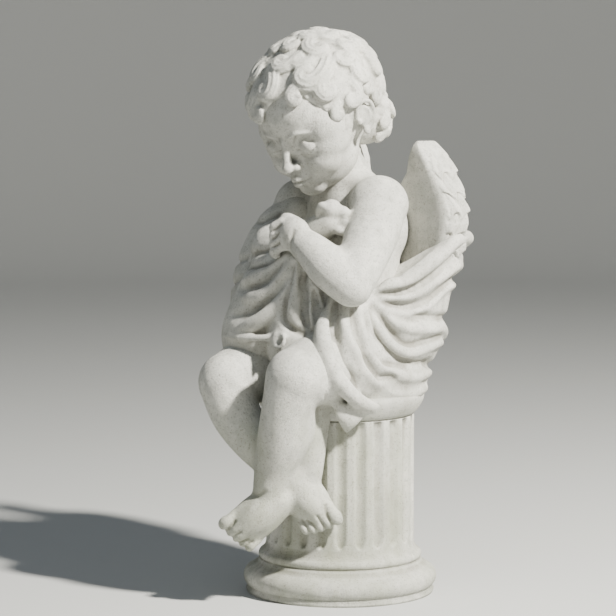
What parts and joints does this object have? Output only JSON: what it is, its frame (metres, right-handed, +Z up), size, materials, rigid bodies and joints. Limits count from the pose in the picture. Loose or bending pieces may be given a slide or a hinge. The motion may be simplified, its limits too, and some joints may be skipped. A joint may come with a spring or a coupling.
{
  "type": "garden statue",
  "caption": "Concrete garden statue of a curly-haired winged child wrapped in cloth, sitting on a short fluted column with a turned base.",
  "frame": {"origin": "on the underside of the column's base, at the column's axis", "axes": "+Z up along the column's axis; the child faces -Y and its left side is towards +X"},
  "size_m": [0.2976, 0.3929, 0.8096],
  "materials": {
    "concrete": "matte cast concrete, pale warm grey, slightly weathered"
  },
  "bodies": {
    "root": {"angel_statue": "concrete"}
  },
  "joints": []
}
